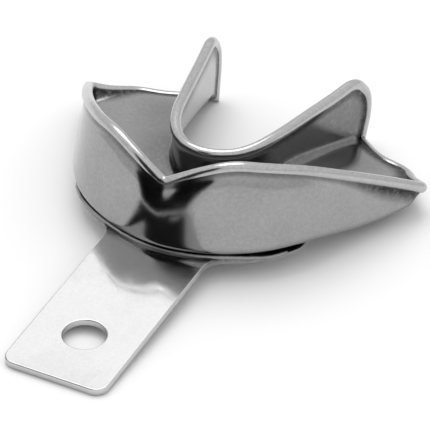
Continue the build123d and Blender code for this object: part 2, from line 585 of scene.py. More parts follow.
    def _seam_shade(self) -> bpy.types.NodeTree:
        """Painted shade wherever the mesh's shade weight is high, beside soldered seams, broken up
        by noise.

        Returns:
            The group's tree.
        """
        graph, given, out = new_group(
            Effect.SEAM_SHADE.value,
            {"Vector": ("Vector", None), "Nearness": ("Float", 0.0), "Breakup": ("Float", 1.2),
             "Amount": ("Float", 0.6)},
            {"Mask": "Float"})
        broken = graph.ramp(graph.noise(given.outputs["Vector"], given.outputs["Breakup"],
                                        detail=4.0, rough=0.65), 0.25, 0.60, 0.7, 1.0)
        mask = graph.math("MULTIPLY", graph.math("MULTIPLY", given.outputs["Nearness"], broken),
                          given.outputs["Amount"], clamp=True)
        graph.tree.links.new(mask, out.inputs["Mask"])
        return graph.tree


@dataclass(frozen=True)
class MetalFinish:
    """Polished white metal: its tone, gloss, marks and unevenness, and the painted shade that its
    mesh's shade weight calls for.
    """

    name: str
    bright: float = 0.56
    dull: float = 0.36
    gloss: float = 0.12
    marked: float = 0.30
    scratch: float = 0.5
    scratch_fineness: float = 6.0
    scratch_depth: float = 0.0006
    scratch_mark: float = 0.5
    smudge: float = 0.5
    smudge_spread: float = 0.16
    smudge_mark: float = 0.6
    smudge_wear: float = 0.3
    wave_pitch: float = 9.0
    wave_height: float = 0.03
    grain_fineness: float = 1.9
    grain_contrast: float = 1.0
    grain_height: float = 0.007
    grain_wear: float = 0.6
    # Depth of the painted shade, and the near-black tone that it paints.
    painted_shade: float = 0.97
    shade_tone: float = 0.02
    shade_attribute: str = SHADE_WEIGHT

    def made(self, shop: EffectShop) -> bpy.types.Material:
        """Build the material.

        Args:
            shop: The shared effects.

        Returns:
            The material.
        """
        material, graph = blank_material(self.name)
        place = graph.scaled(graph.node("ShaderNodeTexCoord").outputs["Object"], 1.0 / MM)
        near = graph.node("ShaderNodeAttribute", attribute_name=self.shade_attribute,
                          attribute_type="GEOMETRY").outputs["Fac"]

        scratches = shop.place(graph, Effect.SCRATCHES, place, Fineness=self.scratch_fineness,
                               Amount=self.scratch)
        smudges = shop.place(graph, Effect.SMUDGES, place, Spread=self.smudge_spread,
                             Amount=self.smudge)
        waves = shop.place(graph, Effect.UNEVEN, place, Pitch=self.wave_pitch)
        grain = shop.place(graph, Effect.GRAIN, place, Fineness=self.grain_fineness,
                           Contrast=self.grain_contrast)
        painted_shade = shop.place(graph, Effect.SEAM_SHADE, place, Nearness=near, Amount=self.painted_shade)

        worn = graph.math("ADD", graph.math("MULTIPLY", grain.outputs["Mask"], self.grain_wear),
                          graph.math("MULTIPLY", smudges.outputs["Mask"], self.smudge_wear))
        tone = graph.mixed(worn, (*[self.bright] * 3, 1.0), (*[self.dull] * 3, 1.0))
        # Painted shade: the tone goes towards near-black where the mesh's shade weight is high.
        tone = graph.mixed(painted_shade.outputs["Mask"], tone, (*[self.shade_tone] * 3, 1.0))

        marks = graph.math("ADD", graph.math("MULTIPLY", smudges.outputs["Mask"], self.smudge_mark),
                           graph.math("MULTIPLY", scratches.outputs["Mask"], self.scratch_mark))
        marks = graph.math("MAXIMUM", marks, painted_shade.outputs["Mask"], clamp=True)
        rough = graph.ramp(marks, 0.0, 1.0, self.gloss, self.marked, smooth=False)

        height = graph.math("MULTIPLY", waves.outputs["Height"], self.wave_height)
        height = graph.math("ADD", height, graph.math("MULTIPLY", grain.outputs["Height"],
                                                      self.grain_height))
        height = graph.math("ADD", height, graph.math("MULTIPLY", scratches.outputs["Height"],
                                                      self.scratch_depth))
        bump = graph.node("ShaderNodeBump", {"Height": height, "Strength": 1.0, "Distance": MM})

        shader = graph.node("ShaderNodeBsdfPrincipled", {
            "Base Color": tone, "Metallic": 1.0, "Roughness": rough,
            "Normal": bump.outputs["Normal"]})
        graph.surface(shader.outputs["BSDF"])
        return material


@dataclass(frozen=True)
class PaleFloorFinish:
    """Matt pale sweep that the tray stands on."""

    tone: float = 0.86
    mottle: float = 0.02

    def made(self) -> bpy.types.Material:
        """Build the floor's material.

        Returns:
            The material.
        """
        material, graph = blank_material("pale_floor")
        place = graph.node("ShaderNodeTexCoord").outputs["Object"]
        cloud = graph.noise(place, 6.0, detail=3.0)
        tone = graph.mixed(graph.math("MULTIPLY", cloud, self.mottle),
                           (*[self.tone] * 3, 1.0), (*[self.tone * 0.6] * 3, 1.0))
        shader = graph.node("ShaderNodeBsdfPrincipled", {"Base Color": tone, "Roughness": 0.9})
        graph.surface(shader.outputs["BSDF"])
        return material


# ---------------------------------------------------------------------------------------------
# The trough
# ---------------------------------------------------------------------------------------------

@dataclass(frozen=True)
class Section:
    """One upright section of the sheet across the trough, in millimetres.

    The middle of the lingual flange and of the buccal wall at the floor, how far the floor has
    dipped at each, the flange's height, how far in the rim leans, and its height.
    """

    inner: tuple[float, float]
    outer: tuple[float, float]
    inner_dip: float
    outer_dip: float
    flange: float
    lean: float
    wall: float


def tray_sections() -> list[Section]:
    """Sections of the tray, from the front to past the heels.

    Returns:
        The right side's sections, the first on the middle plane.
    """
    return [
        Section((0.0, 16.2), (0.0, -0.2), 0.0, 0.0, 7.9, 3.6, 10.3),
        Section((1.5, 16.4), (2.8, 0.0), 0.0, 0.0, 7.9, 3.7, 11.8),
        Section((3.0, 16.9), (5.7, 0.6), 0.0, 0.0, 7.8, 3.8, 13.2),
        Section((5.4, 18.8), (11.7, 2.9), 0.0, 0.0, 7.5, 3.8, 15.2),
        Section((7.4, 21.6), (17.3, 6.9), 0.0, 0.1, 7.5, 3.8, 13.9),
        Section((8.8, 25.2), (22.1, 13.9), 0.0, 1.0, 7.5, 2.8, 12.2),
        Section((9.8, 29.6), (25.9, 22.6), 0.4, 3.4, 7.5, 1.4, 9.9),
        Section((11.0, 35.4), (29.5, 30.8), 2.2, 4.5, 8.9, 0.7, 5.8),
        Section((12.2, 41.2), (32.4, 38.6), 4.3, 5.0, 10.5, 0.4, 1.7),
        Section((13.4, 47.4), (34.4, 45.8), 6.7, 7.5, 12.6, 0.4, 2.4),
        Section((14.8, 54.2), (36.4, 53.0), 9.2, 10.2, 14.6, 0.4, 2.4),
    ]


@dataclass
class TrayPattern:
    """Lines that every piece of the tray is built to, in millimetres on the drawing."""

    plate: float = 1.2
    solder: float = 0.2
    sheet: float = 0.9
    wire: float = 1.9
    wire_corner: float = 1.6
    bend_share: float = 0.45
    sections: list[Section] = field(default_factory=tray_sections)
    heel_edge: tuple[tuple[float, float, float], ...] = (
        (31.4, 36.3, 2.5), (28.6, 38.6, 4.0), (25.4, 43.0, 5.9), (19.6, 44.3, 6.1))
    heel_corner: tuple[float, float, float] = (13.9, 49.4, 7.3)
    ear_edge: tuple[tuple[float, float], ...] = ((51.0, -1.8), (50.8, 2.0), (47.6, 6.0))

    @property
    def floor(self) -> float:
        """Height of the middle of the floor sheet over the foot."""
        return self.plate + self.solder + self.sheet / 2

    @property
    def heel(self) -> Points:
        """Where the two wires meet."""
        x, y, dip = self.heel_corner
        return np.array([x, y, self.floor - dip])

    def flange_top(self, section: Section) -> Points:
        """Top of the lingual flange in one section."""
        return np.array([*section.inner, self.floor - section.inner_dip + section.flange])

    def rim_top(self, section: Section) -> Points:
        """Buccal rim in one section."""
        inner, outer = np.array(section.inner), np.array(section.outer)
        plan = outer - unit(outer - inner) * section.lean
        return np.array([*plan, self.floor - section.outer_dip + section.wall])

    def rim_route(self) -> Points:
        """Half of the rim wire's line, from the notch to the heel corner."""
        rims = [self.rim_top(s) for s in self.sections[:-3]]
        heels = [np.array([x, y, self.floor - dip]) for x, y, dip in self.heel_edge]
        return self._rounded(rims + heels + [self.heel], {0: self.wire_corner,
                                                          len(rims): self.wire_corner})

    def tongue_route(self) -> Points:
        """Half of the tongue wire's line, from the front of the opening to the heel corner."""
        tops = [self.flange_top(s) for s in self.sections[:-2]]
        way = np.array(self.sections[-1].inner) - np.array(self.sections[-2].inner)
        ears = []
        for back, height in self.ear_edge:
            foot = self.heel[:2] + way * (back - self.heel[1]) / way[1]
            ears.append(np.array([*foot, self.floor + height]))
        return self._rounded(tops + ears[::-1] + [self.heel], {})

    def _rounded(self, half: list[Points], tight: Mapping[int, float]) -> Points:
        """Round a half route as part of the whole, so that its middle is rounded too.

        Args:
            half: Corners of the half, from the middle plane on.
            tight: Radius of its tightly bent corners, by index.

        Returns:
            The half route, from the middle plane on.
        """
        whole = mirrored(np.array(half))
        middle = len(half) - 1
        radii = {middle + sign * index: r for index, r in tight.items() for sign in (-1, 1)}
        line = bent(list(whole), self.bend_share, radii)
        start = int(np.argmin(np.abs(line[:, 0]) + 1e3 * (line[:, 1] > self.heel[1] - 8)))
        half_line = line[start:] if line[start, 0] >= 0 else line[start + 1:]
        first = half_line[0].copy()
        first[0] = 0.0
        if half_line[0][0] > 1e-9:
            half_line = np.vstack([first, half_line])
        else:
            half_line = np.vstack([first, half_line[1:]])
        return evenly(half_line, 0.15)


@dataclass
class PressedTrough:
    """The trough: floor, buccal wall and lingual flange pressed from one sheet."""

    ROUND_WEIGHT: ClassVar[float] = 0.75

    pattern: TrayPattern
    bend_radius: float = 2.0
    base_radius: float = 1.3
    rows: int = 128
    first_cut: int = 6
    end_soft: int = 5
    crowding: float = 0.06
    seam_reach: float = 1.7
    seam_build: float = 0.26
    # The painted shade beside the wires: its reach at the front and rear, its depth in the flange,
    # its strength at the front, how far under the wire it starts, and how far back it eases in.
    shade_reach_front: float = 0.7
    shade_reach_rear: float = 2.8
    flange_shade_depth: float = 0.62
    front_strength: float = 0.55
    under_wire: float = 0.55
    front_calm: float = 10.0
    snug: float = 3.2
    slope: float = 0.15
    upright: float = 0.50
    shoulder: float = 0.82
    columns: tuple[int, int, int, int, int] = (24, 10, 20, 10, 40)

    def _curves(self) -> tuple[Points, dict[str, Curve]]:
        """Smooth curves through the sections' sizes, front half mirrored.

        Returns:
            Places of the sections, and a curve for each size.
        """
        sections = self.pattern.sections
        outer = np.array([s.outer for s in sections])
        steps = np.linalg.norm(np.diff(outer, axis=0), axis=1)
        places = np.concatenate([[0.0], np.cumsum(steps)])
        both = np.concatenate([-places[:0:-1], places])

        def curve(values: Sequence[float], odd: bool = False) -> Curve:
            """A curve through one size of every section, its sign turned in front if odd."""
            half = np.array(values, float)
            return Curve(both, np.concatenate([(-1.0 if odd else 1.0) * half[:0:-1], half]))

        return places, {
            "inner_x": curve([s.inner[0] for s in sections], odd=True),
            "inner_y": curve([s.inner[1] for s in sections]),
            "outer_x": curve([s.outer[0] for s in sections], odd=True),
            "outer_y": curve([s.outer[1] for s in sections]),
            "inner_dip": curve([s.inner_dip for s in sections]),
            "outer_dip": curve([s.outer_dip for s in sections]),
            "flange": curve([s.flange for s in sections]),
            "lean": curve([s.lean for s in sections]),
            "wall": curve([s.wall for s in sections]),
        }

    def _profile(self, curves: Mapping[str, Curve], place: Points, column: int) -> Points:
        """Points of one column of the sheet's middle, at many places along the trough.

        Args:
            curves: Curves of the sizes.
            place: Places along the trough.
            column: Which column, counted from the flange's top to the rim.

        Returns:
            One point for each place.
        """
        got = {name: curve.at(place) for name, curve in curves.items()}
        inner = np.stack([got["inner_x"], got["inner_y"]], -1)
        outer = np.stack([got["outer_x"], got["outer_y"]], -1)
        way = unit(outer - inner)
        reach = np.linalg.norm(outer - inner, axis=-1)
        low_in = self.pattern.floor - got["inner_dip"]
        low_out = self.pattern.floor - got["outer_dip"]
        tall = np.maximum(got["wall"], 1.2)
        flat = np.stack([reach, low_out - low_in], -1)
        along = unit(flat)
        flange_top = np.stack([np.zeros_like(reach), low_in + got["flange"]], -1)
        corner_in = np.stack([np.zeros_like(reach), low_in], -1)
        corner_out = np.stack([reach, low_out], -1)
        pull, brow = (np.stack([reach - self.slope * share * tall, low_out + share * tall], -1)
                      for share in (self.upright, self.shoulder))
        rim = np.stack([reach - got["lean"], low_out + tall], -1)

        cut_in = self.bend_radius
        up = unit(flange_top - corner_in)
        bend_start, bend_end = corner_in + up * cut_in, corner_in + along * cut_in
        first_way = unit(pull - corner_out)
        cut_out = np.minimum(self.base_radius, 0.3 * tall)[..., None]
        base_start, base_end = corner_out - along * cut_out, corner_out + first_way * cut_out

        counts = np.cumsum((0,) + self.columns)
        part = int(np.searchsorted(counts, column, side="right") - 1)
        part = min(part, len(self.columns) - 1)
        share = (column - counts[part]) / self.columns[part]
        if part == 0:
            eased = share ** 1.5
            flat_point = flange_top + (bend_start - flange_top) * eased
        elif part == 1:
            flat_point = self._rounding(bend_start, corner_in, bend_end, share)
        elif part == 2:
            flat_point = bend_end + (base_start - bend_end) * share
        elif part == 3:
            flat_point = self._rounding(base_start, corner_out, base_end, share)
        else:
            eased = 1.0 - (1.0 - share) ** 1.5
            flat_point = ((1 - eased) ** 3 * base_end + 3 * eased * (1 - eased) ** 2 * pull
                          + 3 * eased ** 2 * (1 - eased) * brow + eased ** 3 * rim)
        plan = inner + way * flat_point[..., :1]
        return np.concatenate([plan, flat_point[..., 1:]], -1)

    @staticmethod
    def _rounding(start: Points, corner: Points, end: Points, share: float) -> Points:
        """A point of a quarter-round bend between two tangent points."""
        weight = PressedTrough.ROUND_WEIGHT
        early, late = (1 - share) ** 2, share ** 2
        hold = 2 * weight * share * (1 - share)
        return (early * start + hold * corner + late * end) / (early + hold + late)

    def _past_edges(self, points: Points) -> Points:
        """How far points lie past the heel edge or the ear's edge, in millimetres.

        Args:
            points: Points of the sheet's middle, on the right side of the tray.

        Returns:
            Positive where the sheet is cut away.
        """
        pattern = self.pattern
        rim = pattern.rim_route()
        tip = int(np.argmax(rim[:, 0]))
        heel = rim[tip:]
        lead = heel[0] + (heel[0] - heel[6]) * 12
        plan = np.vstack([lead, heel])
        order = np.argsort(plan[:, 0])
        past_heel = points[:, 1] - np.interp(points[:, 0], plan[order, 0], plan[order, 1])

        tongue = pattern.tongue_route()
        ear = tongue[np.argmax(tongue[:, 1] > pattern.sections[-4].inner[1]):]
        side = ear[np.argsort(ear[:, 2])]
        past_ear = points[:, 1] - np.interp(points[:, 2], side[:, 2], side[:, 1])
        flange_x = np.interp(points[:, 1], *np.array(
            [s.inner[::-1] for s in pattern.sections]).T)
        on_flange = points[:, 0] < flange_x + 0.7
        return np.where(on_flange, past_ear, past_heel)

    def middle_surface(self) -> Points:
        """The middle of the sheet as a grid, right side first row at the front.

        Returns:
            Points by row and column, for both sides of the tray.
        """
        places, curves = self._curves()
        columns = sum(self.columns) + 1
        fine = np.linspace(0.0, places[-1], 1600)
        ends = []
        for column in range(columns):
            past = self._past_edges(self._profile(curves, fine, column))
            late = fine > places[self.first_cut]
            beyond = np.nonzero((past > 0) & late)[0]
            stop = beyond[0] if len(beyond) else len(fine) - 1
            share = past[stop - 1] / min(past[stop - 1] - past[stop], -1e-9)
            ends.append(fine[stop - 1] + (fine[stop] - fine[stop - 1]) * min(max(share, 0), 1))
        ends = np.array(ends)
        padded = np.pad(ends, self.end_soft, mode="edge")
        window = 2 * self.end_soft + 1
        soft = np.convolve(padded, np.ones(window) / window, "valid")
        ends = 0.5 * ends + 0.5 * soft
        share = np.linspace(0.0, 1.0, self.rows + 1)
        share = share + self.crowding * np.sin(math.pi * share) * share
        share = share / share[-1]
        half = np.stack([self._profile(curves, ends[c] * share, c) for c in range(columns)], 1)
        half[0, :, 0] = 0.0
        half = self._snug_to_wires(half)
        other = half[:0:-1].copy()
        other[..., 0] *= -1.0
        return np.concatenate([other, half], 0)

    def _snug_to_wires(self, half: Points) -> Points:
        """Draw the sheet's edges onto the middle of their wires, easing off inwards.

        Args:
            half: Grid of one side.

        Returns:
            The same grid with its edges on the wires.
        """
        rim, tongue = self.pattern.rim_route(), self.pattern.tongue_route()
        flange_columns = self.columns[0]
        top_pull = nearest_on(half[:, 0], tongue)[0] - half[:, 0]
        rim_pull = nearest_on(half[:, -1], rim)[0] - half[:, -1]
        end = half[-1]
        end_place = np.where((np.arange(len(end)) < flange_columns)[:, None],
                             nearest_on(end, tongue)[0], nearest_on(end, rim)[0])
        end_pull = end_place - end

        across = np.linalg.norm(np.diff(half, axis=1), axis=2)
        from_top = np.concatenate([np.zeros((len(half), 1)), np.cumsum(across, 1)], 1)
        from_rim = from_top[:, -1:] - from_top
        along = np.linalg.norm(np.diff(half, axis=0), axis=2)
        from_front = np.concatenate([np.zeros((1, half.shape[1])), np.cumsum(along, 0)], 0)
        from_end = from_front[-1:] - from_front
        near_top, near_rim, near_end = (1.0 - ease(d / self.snug)
                                        for d in (from_top, from_rim, from_end))
        move = (near_top[..., None] * top_pull[:, None] + near_rim[..., None] * rim_pull[:, None]
                + near_end[..., None] * end_pull[None])
        move -= (near_top * near_end)[..., None] * top_pull[-1]
        move -= (near_rim * near_end)[..., None] * rim_pull[-1]
        move[0, :, 0] = 0.0
        return half + move

    def build(self) -> bpy.types.Mesh:
        """Thicken the middle surface into the closed sheet.

        Returns:
            The trough's mesh, with a painted-shade weight that is 1 beside its soldered seams.
        """
        grid = self.middle_surface()
        down = np.gradient(grid, axis=0)
        across = np.gradient(grid, axis=1)
        normal = unit(np.cross(across, down))
        flat = grid.reshape(-1, 3)
        routes = self.pattern.rim_route(), self.pattern.tongue_route()
        seams = [mirrored(route[::3]) for route in routes]
        gap = np.min([nearest_on(flat, seam)[1] for seam in seams], axis=0)
        near = 1.0 - ease(gap / self.seam_reach)
        half_sheet = self.pattern.sheet / 2 + self.seam_build * near
        lift = normal.reshape(-1, 3) * half_sheet[:, None]
        rows, columns = grid.shape[:2]
        count = rows * columns
        points = np.vstack([flat + lift, flat - lift])
        index = np.arange(count).reshape(rows, columns)
        a, b = index[:-1, :-1].ravel(), index[:-1, 1:].ravel()
        c, d = index[1:, 1:].ravel(), index[1:, :-1].ravel()
        faces = np.vstack([np.stack([a, b, c, d], 1), np.stack([d, c, b, a], 1) + count]).tolist()
        border = np.concatenate([index[0, :-1], index[:-1, -1], index[-1, :0:-1],
                                 index[:0:-1, 0]])
        for here, after in zip(border, np.roll(border, -1)):
            faces.append([int(after), int(here), int(here + count), int(after + count)])
        mesh = mesh_of("tray_bowl_sheet", points, faces)
        # Painted shade on the trough's side of the flange and its bend, added to that beside the
        # seams.
        hidden = np.tile(self._flange_shade(), rows)
        clear = np.zeros(count)
        trough_first = normal[rows // 4, sum(self.columns[:2]) + 5, 2] > 0
        self._mark_seams(mesh, seams, np.concatenate(
            [hidden, clear] if trough_first else [clear, hidden]))
        return mesh

    def _flange_shade(self) -> Points:
        """How much painted shade each column gets on the trough's side, most in the flange's bend.
        """
        flange, bend, floor = self.columns[:3]
        stations = [0, flange, flange + bend, flange + bend + 0.6 * floor, sum(self.columns)]
        shades = np.array([0.75, 1.0, 0.8, 0.0, 0.0]) * self.flange_shade_depth
        return np.interp(np.arange(sum(self.columns) + 1), stations, shades)

    def _mark_seams(self, mesh: bpy.types.Mesh, seams: Sequence[Points],
                    shade: Points) -> None:
        """Store how much painted shade each point gets, most beside the soldered seams.

        Args:
            mesh: The settled mesh.
            seams: Lines of the seams, on the drawing.
            shade: Painted shade away from the seams, one value a point.
        """
        places = places_of(mesh)
        gap = np.min([nearest_on(places, SETTLING.placed(s))[1] for s in seams], axis=0)
        rear = ease((places[:, 1] / MM - self.front_calm) / self.front_calm)
        reach = self.shade_reach_front + (self.shade_reach_rear - self.shade_reach_front) * rear
        values = 1.0 - ease((gap / MM - self.pattern.wire * self.under_wire) / reach)
        strength = self.front_strength + (1.0 - self.front_strength) * rear
        values = np.maximum(values * strength, shade)
        store_shade_weight(mesh, values)

    def dress(self, finish: bpy.types.Material) -> bpy.types.Object:
        """Build, finish and place the trough."""
        mesh = self.build()
        mesh.materials.append(finish)
        return joined(shown("pressed_trough", mesh), ["tray_bowl"], "tray_bowl")


# ---------------------------------------------------------------------------------------------
# Wires and seams, grown along their routes by geometry nodes
# ---------------------------------------------------------------------------------------------

class RoundBar:
    """Geometry nodes that run a round bar along a route of edges."""

    TREE_NAME = "Round Bar Along Route"

    def __init__(self) -> None:
        """Build the tree once."""
        tree = bpy.data.node_groups.new(self.TREE_NAME, "GeometryNodeTree")
        tree.interface.new_socket("Route", in_out="INPUT", socket_type="NodeSocketGeometry")
        for name, kind, value in (("Bar Radius", "Float", 0.001), ("Step", "Float", 0.0004),
                                  ("Sides", "Int", 28), ("Hand", "Float", 0.0),
                                  ("Hand Scale", "Float", 300.0), ("Seed", "Float", 1.0),
                                  ("Finish", "Material", None)):
            socket = tree.interface.new_socket(name, in_out="INPUT",
                                               socket_type="NodeSocket" + kind)
            if value is not None:
                socket.default_value = value
        tree.interface.new_socket("Bar", in_out="OUTPUT", socket_type="NodeSocketGeometry")
        graph = Graph(tree)
        given, out = graph.node("NodeGroupInput"), graph.node("NodeGroupOutput")

        line = graph.node("GeometryNodeMeshToCurve", {"Mesh": given.outputs["Route"]})
        line = graph.node("GeometryNodeResampleCurve", {
            "Curve": line.outputs[0], "Length": given.outputs["Step"]}, mode="LENGTH")
        noise = graph.node("ShaderNodeTexNoise", {
            "W": given.outputs["Seed"], "Scale": given.outputs["Hand Scale"], "Detail": 1.0,
        }, noise_dimensions="4D")
        drift = graph.vector("SUBTRACT", noise.outputs["Color"], (0.5, 0.5, 0.5))
        drift = graph.scaled(drift, given.outputs["Hand"])
        line = graph.node("GeometryNodeSetPosition", {"Geometry": line.outputs[0],
                                                      "Offset": drift})
        ring = graph.node("GeometryNodeCurvePrimitiveCircle", {
            "Resolution": given.outputs["Sides"], "Radius": given.outputs["Bar Radius"]},
            mode="RADIUS")
        bar = graph.node("GeometryNodeCurveToMesh", {
            "Curve": line.outputs[0], "Profile Curve": ring.outputs[0], "Fill Caps": True})
        bar = graph.node("GeometryNodeSetShadeSmooth", {"Geometry": bar.outputs[0]})
        bar = graph.node("GeometryNodeRealizeInstances", {"Geometry": bar.outputs[0]})
        bar = graph.node("GeometryNodeSetMaterial", {
            "Geometry": bar.outputs[0], "Material": given.outputs["Finish"]})
        tree.links.new(bar.outputs[0], out.inputs[0])
        self.tree = tree

    def grown(self, name: str, route: Points, settings: Mapping[str, Any]) -> bpy.types.Mesh:
        """Run a bar along a route.

        Args:
            name: Name of the mesh.
            route: The route on the drawing, in millimetres.
            settings: Values of the tree's named inputs.

        Returns:
            The bar as a plain mesh.
        """
        mesh = bpy.data.meshes.new(name + "_route")
        count = len(route)
        mesh.from_pydata(SETTLING.placed(route).tolist(), [(k, k + 1) for k in range(count - 1)],
                         [])
        carrier = shown(name + "_carrier", mesh)
        modifier = carrier.modifiers.new("bar", "NODES")
        modifier.node_group = self.tree
        sockets = {item.name: item.identifier for item in self.tree.interface.items_tree
                   if item.item_type == "SOCKET" and item.in_out == "INPUT"}
        for label, value in settings.items():
            modifier[sockets[label]] = value
        graph = bpy.context.evaluated_depsgraph_get()
        made = bpy.data.meshes.new_from_object(carrier.evaluated_get(graph),
                                               preserve_all_data_layers=True, depsgraph=graph)
        made.name = name
        carrier.modifiers.remove(modifier)
        bpy.data.objects.remove(carrier)
        bpy.data.meshes.remove(mesh)
        return made


class WireEdge(Enum):
    """The edges that carry a retention wire."""

    RIM = "rim_wire"
    TONGUE = "tongue_wire"


@dataclass
class RetentionWire:
    """Round wire soldered along one edge of the trough, mitred at both heel corners."""

    pattern: TrayPattern
    edge: WireEdge
    seed: float
    hand: float = 0.04
    slimmer: float = 0.015
    sides: int = 32
    step: float = 0.35

    def _halves(self) -> tuple[Points, Points]:
        """This wire's half route, and the other's."""
        rim, tongue = self.pattern.rim_route(), self.pattern.tongue_route()
        return (rim, tongue) if self.edge is WireEdge.RIM else (tongue, rim)

    def build(self, bar: RoundBar, finish: bpy.types.Material) -> bpy.types.Mesh:
        """Run the wire round its edge and cut its mitres.

        Args:
            bar: The geometry nodes that make round bar.
            finish: The wire's material.

        Returns:
            The wire's mesh.
        """
        own, other = self._halves()
        own_way, other_way = unit(own[-1] - own[-8]), unit(other[-1] - other[-8])
        longer = np.vstack([own, own[-1] + own_way * self.pattern.wire * 1.2])
        mesh = bar.grown(self.edge.value, mirrored(longer), {
            "Bar Radius": (self.pattern.wire / 2 - self.slimmer) * MM,
            "Step": self.step * MM, "Sides": self.sides, "Hand": self.hand * MM,
            "Hand Scale": 170.0, "Seed": self.seed, "Finish": finish})
        square = unit(own_way - other_way)
        for hand in (-1.0, 1.0):
            flip = np.array([hand, 1.0, 1.0])
            self._cut(mesh, own[-1] * flip, square * flip)
        return outward(mesh)

    def _cut(self, mesh: bpy.types.Mesh, corner: Points, square: Points) -> None:
        """Cut one end of the wire along its mitre.

        Args:
            mesh: The wire, settled.
            corner: The heel corner on the drawing.
            square: Direction square to the mitre, towards the waste.
        """
        spot = Vector(SETTLING.placed(corner[None])[0])
        way = Vector(SETTLING.turned(square[None])[0])
        reach = self.pattern.wire * 2.2 * MM
        work = bmesh.new()
        work.from_mesh(mesh)
        near = {v for v in work.verts if (v.co - spot).length < reach}
        faces = [f for f in work.faces if all(v in near for v in f.verts)]
        edges = {e for f in faces for e in f.edges}
        verts = {v for f in faces for v in f.verts}
        bmesh.ops.bisect_plane(work, geom=[*verts, *edges, *faces], plane_co=spot, plane_no=way,
                               clear_outer=True, dist=1e-7)
        rims = [e for e in work.edges if e.is_boundary]
        if rims:
            bmesh.ops.holes_fill(work, edges=rims, sides=0)
        work.to_mesh(mesh)
        work.free()
        mesh.update()

    def dress(self, bar: RoundBar, finish: bpy.types.Material) -> bpy.types.Object:
        """Build, finish and place the wire."""
        mesh = self.build(bar, finish)
        return joined(shown(self.edge.value + "_bead", mesh), [self.edge.value],
                      self.edge.value)


# ---------------------------------------------------------------------------------------------
# The handle plate
# ---------------------------------------------------------------------------------------------

